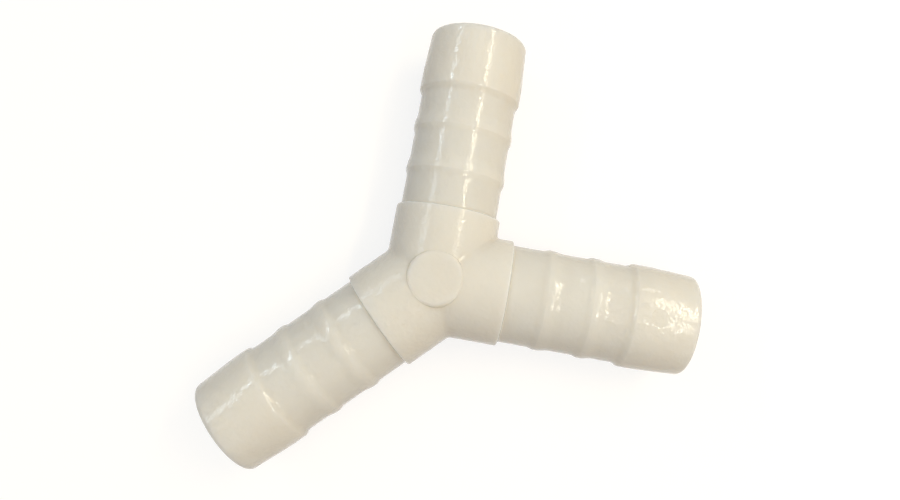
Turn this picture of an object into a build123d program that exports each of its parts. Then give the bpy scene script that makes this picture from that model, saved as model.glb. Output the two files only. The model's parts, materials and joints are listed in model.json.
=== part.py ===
from build123d import *
import math
import os

# Barbed Y connector for flexible tubing, moulded in one piece. All lengths are in millimetres and all
# angles in degrees. The fitting lies flat: the axes of its three tails cross in one point straight above
# the origin, which is the centre of the round pad under the hub. The stem points along -Y, and the two
# branches spread evenly about +Y.

# Directions of the tails
branch_angle = 90.0  # between the two branches

# Section of a tail, from the bore outwards
bore_diameter = 14.0
wall = 2.25  # of the plain neck
ridge_rise = 0.33  # of a low ridge over the neck
barb_rise = 0.56  # of the end barb's land over the neck
nose_rise = 0.15  # of the end of the barb's taper over the neck
collar_rise = 0.8  # of the hub's collar over the neck

# Lengths along a tail, in order from the hub
collar_past_crotch = 3.15  # from the bottom of the branches' crotch to the collar's step
collar_to_ridge = 6.05
ridge_hub_slope = 0.9  # the steeper slope, which holds the hose back
ridge_land = 1.1
ridge_nose_slope = 1.4
ridge_pitch = 8.3
ridge_count = 2
ridge_to_barb = 4.6
barb_shoulder = 0.65  # the slope that climbs to the land
barb_land = 3.4
barb_taper = 7.45

# Edges
nose_side_radius = 1.0  # the nose rounds off in two arcs: a gentle one from the taper
nose_face_radius = 0.6  # and a tighter one into the end face
nose_turn = 42.0  # slope, against the tail's axis, where the one runs into the other
mouth_bevel = 0.3
collar_bevel = 0.2
crease_radius = 0.6  # where the collars run together

# Round pads on the top and underside of the hub
pad_diameter = 10.0
pad_rise = 0.2  # over the collars

# Flat left by an ejector pin on the crest of one branch's end barb
mark_diameter = 3.4
mark_sink = 0.16
mark_from_nose = 7.5  # from the tail's end face to the middle of the mark


def sin(degrees):
    return math.sin(math.radians(degrees))


# Sizes that follow from those above
bore_radius = bore_diameter / 2
neck_radius = bore_radius + wall
collar_radius = neck_radius + collar_rise
barb_radius = neck_radius + barb_rise
nose_end_radius = neck_radius + nose_rise
hub_half_height = collar_radius + pad_rise
collar_length = collar_radius / math.tan(math.radians(branch_angle / 2)) + collar_past_crotch
first_ridge = collar_length + collar_to_ridge
ridge_length = ridge_hub_slope + ridge_land + ridge_nose_slope
barb_start = first_ridge + ridge_pitch * (ridge_count - 1) + ridge_length + ridge_to_barb
land_start = barb_start + barb_shoulder
land_end = land_start + barb_land
nose_start = land_end + barb_taper
taper_angle = math.degrees(math.atan((barb_radius - nose_end_radius) / barb_taper))
nose_length = nose_side_radius * (sin(nose_turn) - sin(taper_angle)) + nose_face_radius * (1 - sin(nose_turn))
tail_length = nose_start + nose_length
tail_angles = {
    "stem": -90,
    "right_branch": 90 - branch_angle / 2,
    "left_branch": 90 + branch_angle / 2,
}


# Corners of one ridge's half section, from its foot on the hub's side
def ridge_corners(foot):
    crest_start = foot + ridge_hub_slope
    crest_end = crest_start + ridge_land
    return [
        (foot, neck_radius),
        (crest_start, neck_radius + ridge_rise),
        (crest_end, neck_radius + ridge_rise),
        (crest_end + ridge_nose_slope, neck_radius),
    ]


# Corners of a tail's half section, from the hub to the land: distance along the axis, distance from it
def tail_corners():
    corners = [
        (0, 0),
        (0, collar_radius),
        (collar_length - collar_bevel, collar_radius),
        (collar_length, collar_radius - collar_bevel),
        (collar_length, neck_radius),
    ]
    for number in range(ridge_count):
        corners += ridge_corners(first_ridge + ridge_pitch * number)
    return corners + [(barb_start, neck_radius), (land_start, barb_radius), (land_end, barb_radius)]


# Outside of one tail with its share of the hub, turned about +X
def tail_outside():
    side = Polyline(*tail_corners(), (nose_start, nose_end_radius))
    nose_side = JernArc(side @ 1, side % 1, nose_side_radius, taper_angle - nose_turn)
    nose_face = JernArc(nose_side @ 1, nose_side % 1, nose_face_radius, nose_turn - 90)
    face = Line(nose_face @ 1, (tail_length, 0))
    axis = Line((tail_length, 0), (0, 0))
    return revolve(make_face([side, nose_side, nose_face, face, axis]), Axis.X)


# Bore of one tail, turned about +X from the crossing of the axes out through its bevelled mouth
def tail_bore():
    outline = Polyline(
        (0, 0),
        (0, bore_radius),
        (tail_length - mouth_bevel, bore_radius),
        (tail_length, bore_radius + mouth_bevel),
        (tail_length, 0),
        close=True,
    )
    return revolve(make_face(outline), Axis.X)


# One copy of a tail's shape in each of the three directions, run together
def in_all_directions(shape):
    copies = [Rot(Z=angle) * shape for angle in tail_angles.values()]
    return copies[0] + copies[1:]


# The three tails run together, with softened creases between the collars, and a disc through the hub
# whose two ends are the pads
def fitting_outside():
    pads = Cylinder(pad_diameter / 2, 2 * hub_half_height)
    outside = in_all_directions(tail_outside()) + pads
    creases = outside.edges().filter_by(GeomType.ELLIPSE)
    return fillet(creases, crease_radius)


# What the ejector pin's flat end took off the crest of a tail's end barb, and the room above it
def ejector_mark():
    along = tail_length - mark_from_nose
    taper_slope = (barb_radius - nose_end_radius) / barb_taper
    crest = barb_radius - taper_slope * (along - land_end)
    pin = Cylinder(mark_diameter / 2, mark_diameter, align=(Align.CENTER, Align.CENTER, Align.MIN))
    return Pos(along, 0, crest - mark_sink) * pin


fitting = fitting_outside() - in_all_directions(tail_bore())
fitting -= Rot(Z=tail_angles["right_branch"]) * ejector_mark()
fitting = Pos(Z=hub_half_height) * fitting

os.makedirs("parts", exist_ok=True)
export_step(fitting, "parts/y_connector.step")
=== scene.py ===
import json
import math

import bmesh
import bpy
from mathutils import Matrix, Vector


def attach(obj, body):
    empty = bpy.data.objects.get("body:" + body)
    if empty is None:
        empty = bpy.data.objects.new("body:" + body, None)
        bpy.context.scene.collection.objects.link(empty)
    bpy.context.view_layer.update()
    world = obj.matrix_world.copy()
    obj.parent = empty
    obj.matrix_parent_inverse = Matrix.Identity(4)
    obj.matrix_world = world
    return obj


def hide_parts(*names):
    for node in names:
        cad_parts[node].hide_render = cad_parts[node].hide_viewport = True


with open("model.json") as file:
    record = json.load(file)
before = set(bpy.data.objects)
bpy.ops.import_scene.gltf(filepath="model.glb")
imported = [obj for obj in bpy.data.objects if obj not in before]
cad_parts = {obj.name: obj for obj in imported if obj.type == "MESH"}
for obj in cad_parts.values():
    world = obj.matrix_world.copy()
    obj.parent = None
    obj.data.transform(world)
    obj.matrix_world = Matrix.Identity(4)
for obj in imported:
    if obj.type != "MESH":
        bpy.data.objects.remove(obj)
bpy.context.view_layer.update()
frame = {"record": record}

mm = 0.001
scene = bpy.context.scene
mounts = {mount["name"]: mount for mount in frame["record"]["mounts"]}
tailNames = ("stem_tail", "right_branch_tail", "left_branch_tail")
directions = {name: Vector(mounts[name]["axis"]) for name in tailNames}
angles = {name: math.degrees(math.atan2(way.y, way.x)) for name, way in directions.items()}
axisHeight = mounts["stem_tail"]["pos_m"][2]
print("frame loaded: the axes of the tails lie", round(axisHeight / mm, 2), "mm above the floor")


def newMesh(bm, name):
    mesh = bpy.data.meshes.new(name)
    bm.to_mesh(mesh)
    bm.free()
    return mesh


def newPiece(mesh, name):
    piece = bpy.data.objects.new(name, mesh)
    scene.collection.objects.link(piece)
    return piece


tolerance = {  # in millimetres
    "cut": 0.0001,  # a point this near a cutting plane lies on it
    "merge": 0.0005,  # points this near each other become one
    "padMerge": 0.001,
    "wedgeMerge": 0.002,
    "onCollar": 0.004,
    "nearAxis": 0.01,
}
arcSteps = 4  # faces across a rounding


# One tail. Lengths in millimetres: along the tail from the crossing of the axes, and out from its axis
tail = {
    "overrun": 2.0,  # past the crossing of the axes, which is cut off
    "neckRadius": 9.25,
    "collarRadius": 10.05,
    "collarEnd": 13.2,
    "ridgeRadius": 9.58,
    "ridgeFeet": (19.25, 27.55),
    "ridgeSteps": (0.9, 2.0, 3.4),  # from a ridge's near foot to its crest's two ends and its far foot
    "barbFoot": 35.4,
    "landStart": 36.2,
    "landEnd": 39.6,
    "landRadius": 9.81,
    "noseSide": (47.4, 9.37),
    "noseFace": (47.855, 8.96),
    "boreRadius": 7.0,
    "mouthBevel": 0.3,
    "stepsRound": 96,
    "longestFace": 0.8,
}
rounding = {  # how far back from each corner its rounding starts
    "collarEdge": 0.3,
    "collarFoot": 0.42,
    "ridgeFoot": 0.4,
    "ridgeEdge": 0.14,
    "ridgeBack": 0.5,
    "ridgeEnd": 0.6,
    "barbFoot": 0.6,
    "landStart": 0.24,
    "landEnd": 0.9,
    "noseSide": 0.34,
    "noseFace": 0.26,
    "mouth": 0.1,
}


def wallCorners():
    t = tail
    crestStart, crestEnd, farFoot = t["ridgeSteps"]
    corners = [
        (-t["overrun"], t["collarRadius"], ""),
        (t["collarEnd"], t["collarRadius"], "collarEdge"),
        (t["collarEnd"], t["neckRadius"], "collarFoot"),
    ]
    for foot in t["ridgeFeet"]:
        corners += [
            (foot, t["neckRadius"], "ridgeFoot"),
            (foot + crestStart, t["ridgeRadius"], "ridgeEdge"),
            (foot + crestEnd, t["ridgeRadius"], "ridgeBack"),
            (foot + farFoot, t["neckRadius"], "ridgeEnd"),
        ]
    return corners + [
        (t["barbFoot"], t["neckRadius"], "barbFoot"),
        (t["landStart"], t["landRadius"], "landStart"),
        (t["landEnd"], t["landRadius"], "landEnd"),
        (*t["noseSide"], "noseSide"),
        (*t["noseFace"], "noseFace"),
        (t["noseFace"][0], t["boreRadius"] + t["mouthBevel"], "mouth"),
        (t["noseFace"][0] - t["mouthBevel"], t["boreRadius"], "mouth"),
        (-t["overrun"], t["boreRadius"], ""),
    ]


def wallSection(bm):
    corners = wallCorners()
    verts = [bm.verts.new((along * mm, 0, out * mm)) for along, out, kind in corners]
    bm.faces.new(verts)
    for kind, offset in rounding.items():
        chosen = [vert for vert, corner in zip(verts, corners) if corner[2] == kind]
        bmesh.ops.bevel(bm, geom=chosen, offset=offset * mm, offset_type="OFFSET", segments=arcSteps,
                        profile=0.5, affect="VERTICES", material=-1)
    bmesh.ops.delete(bm, geom=bm.faces[:], context="FACES_ONLY")
    longest = tail["longestFace"] * mm
    # long runs past the collar are split, so that light runs smoothly over them
    for edge in bm.edges[:]:
        nearEnd = min(vert.co.x for vert in edge.verts)
        if nearEnd > 0 and edge.calc_length() > longest:
            bmesh.ops.subdivide_edges(bm, edges=[edge], cuts=int(edge.calc_length() / longest))


# A tail's wall turned full circle, then cut off where it meets the tails on its two sides
def tailWedge(angle, leftPlane, rightPlane):
    bm = bmesh.new()
    wallSection(bm)
    bmesh.ops.spin(bm, geom=bm.verts[:] + bm.edges[:], axis=(1, 0, 0), cent=(0, 0, 0), angle=math.tau,
                   steps=tail["stepsRound"], use_merge=True)
    bmesh.ops.remove_doubles(bm, verts=bm.verts[:], dist=tolerance["merge"] * mm)
    turn = Matrix.Rotation(math.radians(angle), 3, "Z")
    bmesh.ops.rotate(bm, verts=bm.verts[:], cent=(0, 0, 0), matrix=turn)
    for plane, side in ((leftPlane, 1), (rightPlane, -1)):
        normal = Vector((-math.sin(math.radians(plane)), math.cos(math.radians(plane)), 0)) * side
        bmesh.ops.bisect_plane(bm, geom=bm.verts[:] + bm.edges[:] + bm.faces[:],
                               dist=tolerance["cut"] * mm, plane_co=(0, 0, 0), plane_no=normal,
                               clear_outer=True)
    return newMesh(bm, "wedge")


def distanceFromAxis(point, way):
    return (point - way * point.dot(way)).length


# The whole body. Heights in millimetres over the plane of the axes
body = {
    "creaseWidth": 0.55,
    # radius and height of each corner
    "padProfile": ((0, 7.4), (5.7, 7.4), (5.45, 8.4), (5.2, 9.45), (4.9, 10.25), (0, 10.25)),
    "padRim": 0.42,
    "padFoot": 0.6,
    "padStepsRound": 96,
    "markAlong": 40.36,
    "markRadius": 1.62,
    "markTopRadius": 1.86,
    "markFloor": 9.61,
    "markTop": 10.4,
    "markStepsRound": 64,
    "sharpAngle": 38.0,  # degrees
}


def onTwoCollars(vert):
    collarRadius = tail["collarRadius"] * mm
    found = [way for way in directions.values()
             if vert.co.dot(way) > -tolerance["nearAxis"] * mm
             and abs(distanceFromAxis(vert.co, way) - collarRadius) < tolerance["onCollar"] * mm]
    return len(found) > 1


def shellMesh():
    bm = bmesh.new()
    order = sorted(angles.values())
    for number, angle in enumerate(order):
        before = order[number - 1] - (360 if number == 0 else 0)
        after = order[(number + 1) % len(order)] + (360 if number == len(order) - 1 else 0)
        wedge = tailWedge(angle, (angle + after) / 2, (angle + before) / 2)
        bm.from_mesh(wedge)
        bpy.data.meshes.remove(wedge)
    bmesh.ops.remove_doubles(bm, verts=bm.verts[:], dist=tolerance["wedgeMerge"] * mm)
    creases = [edge for edge in bm.edges if all(onTwoCollars(vert) for vert in edge.verts)]
    bmesh.ops.bevel(bm, geom=creases, offset=body["creaseWidth"] * mm, offset_type="OFFSET",
                    segments=arcSteps, profile=0.5, affect="EDGES", material=-1)
    bmesh.ops.remove_doubles(bm, verts=bm.verts[:], dist=tolerance["merge"] * mm)
    bmesh.ops.recalc_face_normals(bm, faces=bm.faces[:])
    return newMesh(bm, "connectorBody")


# The discs whose ends are the round pads on the top and the underside of the hub
def padMesh():
    bm = bmesh.new()
    verts = [bm.verts.new((out * mm, 0, height * mm)) for out, height in body["padProfile"]]
    bm.faces.new(verts)
    rim, foot = body["padRim"], body["padFoot"]
    for vert, offset in ((verts[4], rim), (verts[3], foot), (verts[2], foot)):
        bmesh.ops.bevel(bm, geom=[vert], offset=offset * mm, offset_type="OFFSET", segments=arcSteps,
                        profile=0.5, affect="VERTICES", material=-1)
    bmesh.ops.delete(bm, geom=bm.faces[:], context="FACES_ONLY")
    nearAxis = tolerance["nearAxis"] * mm
    axis = [edge for edge in bm.edges if all(vert.co.x < nearAxis for vert in edge.verts)]
    bmesh.ops.delete(bm, geom=axis, context="EDGES")
    bmesh.ops.spin(bm, geom=bm.verts[:] + bm.edges[:], axis=(0, 0, 1), cent=(0, 0, 0), angle=math.tau,
                   steps=body["padStepsRound"], use_merge=True)
    bmesh.ops.mirror(bm, geom=bm.verts[:] + bm.edges[:] + bm.faces[:], axis="Z")
    bmesh.ops.remove_doubles(bm, verts=bm.verts[:], dist=tolerance["padMerge"] * mm)
    bmesh.ops.recalc_face_normals(bm, faces=bm.faces[:])
    return newMesh(bm, "pads")


# The room of the shallow round recess in one tail's crest
def markMesh():
    bm = bmesh.new()
    depth = body["markTop"] - body["markFloor"]
    centre = directions["right_branch_tail"] * body["markAlong"] * mm
    centre.z += (body["markFloor"] + depth / 2) * mm
    bmesh.ops.create_cone(bm, cap_ends=True, segments=body["markStepsRound"],
                          radius1=body["markRadius"] * mm, radius2=body["markTopRadius"] * mm,
                          depth=depth * mm, matrix=Matrix.Translation(centre))
    return newMesh(bm, "mark")


def runTogether(piece, toolMesh, operation):
    tool = newPiece(toolMesh, "tool")
    modifier = piece.modifiers.new("runTogether", "BOOLEAN")
    modifier.operation = operation
    modifier.solver = "EXACT"
    modifier.object = tool
    result = bpy.data.meshes.new_from_object(piece.evaluated_get(bpy.context.evaluated_depsgraph_get()))
    piece.modifiers.clear()
    old = piece.data
    piece.data = result
    bpy.data.meshes.remove(old)
    bpy.data.objects.remove(tool)
    bpy.data.meshes.remove(toolMesh)


def finishMesh(piece):
    bm = bmesh.new()
    bm.from_mesh(piece.data)
    bmesh.ops.remove_doubles(bm, verts=bm.verts[:], dist=tolerance["merge"] * mm)
    bmesh.ops.translate(bm, verts=bm.verts[:], vec=(0, 0, axisHeight))
    bmesh.ops.recalc_face_normals(bm, faces=bm.faces[:])
    sharpAngle = math.radians(body["sharpAngle"])
    for face in bm.faces:
        face.smooth = True
    for edge in bm.edges:
        edge.smooth = len(edge.link_faces) == 2 and edge.calc_face_angle() < sharpAngle
    openEdges = sum(1 for edge in bm.edges if len(edge.link_faces) != 2)
    volume = round(bm.calc_volume() / mm**3, 1)
    print("open edges:", openEdges, "volume mm3:", volume, "faces:", len(bm.faces))
    bm.to_mesh(piece.data)
    bm.free()


connector = newPiece(shellMesh(), "connectorBody")
print("shell made:", len(connector.data.polygons), "faces")
runTogether(connector, padMesh(), "UNION")
runTogether(connector, markMesh(), "DIFFERENCE")
finishMesh(connector)
evenNormals = connector.modifiers.new("evenNormals", "WEIGHTED_NORMAL")
evenNormals.keep_sharp = True
print("connector made")


# Moulded nylon: cloudy ivory that light goes deep into, with a glossy, faintly rippled skin on the tails
nylon = {
    "paleColour": (0.86, 0.793, 0.68, 1),
    "deepColour": (0.835, 0.763, 0.65, 1),
    "paintedEdgeGlow": (0.93, 0.89, 0.79, 1),  # painted glow on the collars' sharp edges, standing in for light shining through them
    "edgeWidth": 0.3,  # sizes and heights in millimetres
    "edgeFade": 0.05,
    "hubFade": 0.1,
    "noiseSpan": (0.3, 0.7),  # the values that the noises mostly lie between
    "cloudSize": 9.0,
    "cloudDetail": 3.0,
    "shineSize": 3.5,
    "shineDetail": 4.0,
    "tailRoughness": (0.06, 0.19),
    "hubRoughness": (0.08, 0.17),
    "ripples": ((2.4, 0.10, 1.0), (0.9, 0.055, 1.0), (0.45, 0.011, 1.0)),  # size, height, detail
    "hubGrain": (0.85, 0.085, 1.5),  # the same, on the hub alone
    "subsurface": 1.0,
    "lightReach": (5.0, 4.7, 4.2),  # millimetres, for red, green and blue
    "ior": 1.53,
}


def addNode(tree, kind, **values):
    node = tree.nodes.new(kind)
    for name, value in values.items():
        setattr(node, name, value)
    return node


def noiseNode(tree, coordinates, size, detail):
    node = addNode(tree, "ShaderNodeTexNoise")
    node.inputs["Scale"].default_value = 1 / (size * mm)
    node.inputs["Detail"].default_value = detail
    tree.links.new(coordinates, node.inputs["Vector"])
    return node.outputs["Fac"]


def rangeNode(tree, value, low, high, fromLow, fromHigh):
    node = addNode(tree, "ShaderNodeMapRange")
    node.inputs["From Min"].default_value = fromLow
    node.inputs["From Max"].default_value = fromHigh
    node.inputs["To Min"].default_value = low
    node.inputs["To Max"].default_value = high
    tree.links.new(value, node.inputs["Value"])
    return node.outputs["Result"]


def mathNode(tree, operation, first, second, third=None):
    node = addNode(tree, "ShaderNodeMath", operation=operation)
    for number, value in enumerate((first, second, third)):
        if isinstance(value, (int, float)):
            node.inputs[number].default_value = value
        elif value is not None:
            tree.links.new(value, node.inputs[number])
    return node.outputs["Value"]


# How far along the nearest tail a point lies, in metres
def alongNode(tree, place):
    furthest = None
    for way in directions.values():
        node = addNode(tree, "ShaderNodeVectorMath", operation="DOT_PRODUCT")
        node.inputs[1].default_value = way
        tree.links.new(place, node.inputs[0])
        along = node.outputs["Value"]
        furthest = along if furthest is None else mathNode(tree, "MAXIMUM", furthest, along)
    return furthest


def nylonMaterial():
    material = bpy.data.materials.new("mouldedNylon")
    material.use_nodes = True
    tree = material.node_tree
    shader = tree.nodes["Principled BSDF"]
    shader.inputs["IOR"].default_value = nylon["ior"]
    shader.inputs["Subsurface Weight"].default_value = nylon["subsurface"]
    shader.inputs["Subsurface Radius"].default_value = nylon["lightReach"]
    shader.inputs["Subsurface Scale"].default_value = mm
    place = addNode(tree, "ShaderNodeTexCoord").outputs["Object"]
    edge = tail["collarEnd"] * mm
    along = alongNode(tree, place)
    hub = rangeNode(tree, along, 1.0, 0.0, edge, edge + nylon["hubFade"] * mm)
    mix = addNode(tree, "ShaderNodeMix", data_type="RGBA")
    mix.inputs["A"].default_value = nylon["deepColour"]
    mix.inputs["B"].default_value = nylon["paleColour"]
    clouds = noiseNode(tree, place, nylon["cloudSize"], nylon["cloudDetail"])
    cloud = rangeNode(tree, clouds, 0.0, 1.0, *nylon["noiseSpan"])
    tree.links.new(cloud, mix.inputs["Factor"])
    # Painted glow: a thin band at each collar's edge is made paler, standing in for light shining
    # through the edge
    rimStart = edge - nylon["edgeWidth"] * mm
    rim = rangeNode(tree, along, 0.0, 1.0, rimStart, edge - nylon["edgeFade"] * mm)
    glow = addNode(tree, "ShaderNodeMix", data_type="RGBA")
    glow.inputs["B"].default_value = nylon["paintedEdgeGlow"]
    tree.links.new(mathNode(tree, "MULTIPLY", hub, rim), glow.inputs["Factor"])
    tree.links.new(mix.outputs["Result"], glow.inputs["A"])
    tree.links.new(glow.outputs["Result"], shader.inputs["Base Color"])
    patches = noiseNode(tree, place, nylon["shineSize"], nylon["shineDetail"])
    tailShine = rangeNode(tree, patches, *nylon["tailRoughness"], *nylon["noiseSpan"])
    hubShine = rangeNode(tree, patches, *nylon["hubRoughness"], *nylon["noiseSpan"])
    shine = addNode(tree, "ShaderNodeMix", data_type="FLOAT")
    tree.links.new(hub, shine.inputs["Factor"])
    tree.links.new(tailShine, shine.inputs["A"])
    tree.links.new(hubShine, shine.inputs["B"])
    tree.links.new(shine.outputs["Result"], shader.inputs["Roughness"])
    size, height, detail = nylon["hubGrain"]
    grainHeight = mathNode(tree, "MULTIPLY", hub, height)
    relief = mathNode(tree, "MULTIPLY", grainHeight, noiseNode(tree, place, size, detail))
    for size, height, detail in nylon["ripples"]:
        relief = mathNode(tree, "MULTIPLY_ADD", noiseNode(tree, place, size, detail), height, relief)
    bump = addNode(tree, "ShaderNodeBump")
    bump.inputs["Strength"].default_value = 1.0
    bump.inputs["Distance"].default_value = mm
    tree.links.new(relief, bump.inputs["Height"])
    tree.links.new(bump.outputs["Normal"], shader.inputs["Normal"])
    return material


connector.data.materials.clear()
connector.data.materials.append(nylonMaterial())
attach(connector, "root")
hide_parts("y_connector")
print("nylon made")


# Studio: a pale floor that keeps the soft shadow, a pale surround, a broad soft lamp that gloss doesn't
# mirror, and four small lamps that it does
studio = {
    "floorSize": 4.0,  # metres
    "floorGap": 0.02,  # millimetres under the object
    "floorColour": (0.36, 0.305, 0.22, 1),
    "floorRoughness": 0.9,
    "liftColour": (0.93, 0.96, 1.0, 1),  # what the camera and reflections see added to the floor
    "liftStrength": 0.80,
    "zenithColour": (0.66, 0.675, 0.70, 1),
    "coolHorizon": (0.08, 0.115, 0.17, 1),
    "warmHorizon": (0.10, 0.04, 0.0, 1),
    "coolSide": 170,  # degrees round from +X
}
# Where each lamp hangs: metres away, degrees round from +X and degrees up. Its width and length in
# metres, the way its long side lies in degrees round from +X, its power, and whether gloss mirrors it
lamps = {
    "softLamp": {"away": 0.27, "round": 60, "up": 56, "size": (0.32, 0.32), "lie": 145,
                 "watts": 0.26, "colour": (1.0, 0.93, 0.82), "mirrored": False},
    "warmLamp": {"away": 0.575, "round": 84.4, "up": 51.5, "size": (0.036, 0.33), "lie": 135,
                 "watts": 0.60, "colour": (1.0, 0.92, 0.70), "mirrored": True},
    "lowLamp": {"away": 0.511, "round": 23, "up": 62, "size": (0.05, 0.14), "lie": 125,
                 "watts": 0.22, "colour": (1.0, 0.94, 0.78), "mirrored": True},
    "farLamp": {"away": 0.60, "round": 115, "up": 25.5, "size": (0.05, 0.05), "lie": 115,
                 "watts": 0.05, "colour": (1.0, 0.95, 0.85), "mirrored": True},
    "coolLamp": {"away": 0.66, "round": 202, "up": 42, "size": (0.026, 0.50), "lie": 145,
                 "watts": 0.45, "colour": (0.74, 0.89, 1.0), "mirrored": True},
}
camera = {
    "place": (7.425, -2.458, 143.888),  # millimetres
    "aim": (-3.384, 5.578, 10.25),
    "turn": 55.16,  # degrees
    "lens": 28.0,
    "sensor": 36.0,
    "nearest": 1.0,  # millimetres away, what the camera still shows
}


# 1 for what is seen straight, mirrored or through glass, and 0 for light that falls on the object
def seenNode(tree):
    path = addNode(tree, "ShaderNodeLightPath").outputs
    seen = mathNode(tree, "MAXIMUM", path["Is Camera Ray"], path["Is Glossy Ray"])
    return mathNode(tree, "MAXIMUM", seen, path["Is Transmission Ray"])


def makeFloor():
    bm = bmesh.new()
    bmesh.ops.create_grid(bm, x_segments=1, y_segments=1, size=studio["floorSize"] / 2)
    bmesh.ops.translate(bm, verts=bm.verts[:], vec=(0, 0, -studio["floorGap"] * mm))
    floor = newPiece(newMesh(bm, "floor"), "floor")
    material = bpy.data.materials.new("paleFloor")
    material.use_nodes = True
    tree = material.node_tree
    shader = tree.nodes["Principled BSDF"]
    shader.inputs["Base Color"].default_value = studio["floorColour"]
    shader.inputs["Roughness"].default_value = studio["floorRoughness"]
    shader.inputs["Specular IOR Level"].default_value = 0.0
    shader.inputs["Emission Color"].default_value = studio["liftColour"]
    lift = mathNode(tree, "MULTIPLY", seenNode(tree), studio["liftStrength"])
    tree.links.new(lift, shader.inputs["Emission Strength"])
    floor.data.materials.append(material)


def makeSurround():
    world = bpy.data.worlds.new("surround")
    scene.world = world
    world.use_nodes = True
    tree = world.node_tree
    split = addNode(tree, "ShaderNodeSeparateXYZ")
    way = addNode(tree, "ShaderNodeTexCoord").outputs["Generated"]
    tree.links.new(way, split.inputs["Vector"])
    coolSide = math.radians(studio["coolSide"])
    across = addNode(tree, "ShaderNodeVectorMath", operation="DOT_PRODUCT")
    across.inputs[1].default_value = (math.cos(coolSide), math.sin(coolSide), 0)
    tree.links.new(way, across.inputs[0])
    horizon = addNode(tree, "ShaderNodeMix", data_type="RGBA")
    horizon.inputs["A"].default_value = studio["warmHorizon"]
    horizon.inputs["B"].default_value = studio["coolHorizon"]
    coolShare = rangeNode(tree, across.outputs["Value"], 0.0, 1.0, -1.0, 1.0)
    tree.links.new(coolShare, horizon.inputs["Factor"])
    sky = addNode(tree, "ShaderNodeMix", data_type="RGBA")
    sky.inputs["B"].default_value = studio["zenithColour"]
    tree.links.new(horizon.outputs["Result"], sky.inputs["A"])
    tree.links.new(rangeNode(tree, split.outputs["Z"], 0.0, 1.0, 0.0, 1.0), sky.inputs["Factor"])
    seen = addNode(tree, "ShaderNodeMix", data_type="RGBA")
    seen.inputs["B"].default_value = (1, 1, 1, 1)
    tree.links.new(seenNode(tree), seen.inputs["Factor"])
    tree.links.new(sky.outputs["Result"], seen.inputs["A"])
    tree.links.new(seen.outputs["Result"], tree.nodes["Background"].inputs["Color"])


def makeLamp(name, values):
    data = bpy.data.lights.new(name, "AREA")
    data.shape = "RECTANGLE"
    data.size, data.size_y = values["size"]
    data.energy = values["watts"]
    data.color = values["colour"]
    lamp = bpy.data.objects.new(name, data)
    scene.collection.objects.link(lamp)
    around, up, lie = (math.radians(values[key]) for key in ("round", "up", "lie"))
    way = Vector((math.cos(around) * math.cos(up), math.sin(around) * math.cos(up), math.sin(up)))
    side = Vector((math.cos(lie), math.sin(lie), 0)).cross(way).normalized()
    place = Vector((0, 0, axisHeight)) + way * values["away"]
    turn = Matrix((side, way.cross(side), way)).transposed().to_4x4()
    lamp.matrix_world = Matrix.Translation(place) @ turn
    lamp.visible_glossy = values["mirrored"]


def makeCamera():
    data = bpy.data.cameras.new("camera")
    data.sensor_width = camera["sensor"]
    data.lens = camera["lens"]
    data.clip_start = camera["nearest"] * mm
    place = Vector(camera["place"]) * mm
    back = (place - Vector(camera["aim"]) * mm).normalized()
    turn = math.radians(camera["turn"])
    right = Vector((-math.sin(turn), math.cos(turn), 0)).cross(back).normalized()
    upward = back.cross(right)
    viewer = bpy.data.objects.new("camera", data)
    viewer.matrix_world = Matrix.Translation(place) @ Matrix((right, upward, back)).transposed().to_4x4()
    scene.collection.objects.link(viewer)
    scene.camera = viewer


makeFloor()
makeSurround()
for lampName, lampValues in lamps.items():
    makeLamp(lampName, lampValues)
makeCamera()
scene.view_settings.view_transform = "Standard"
print("studio made")
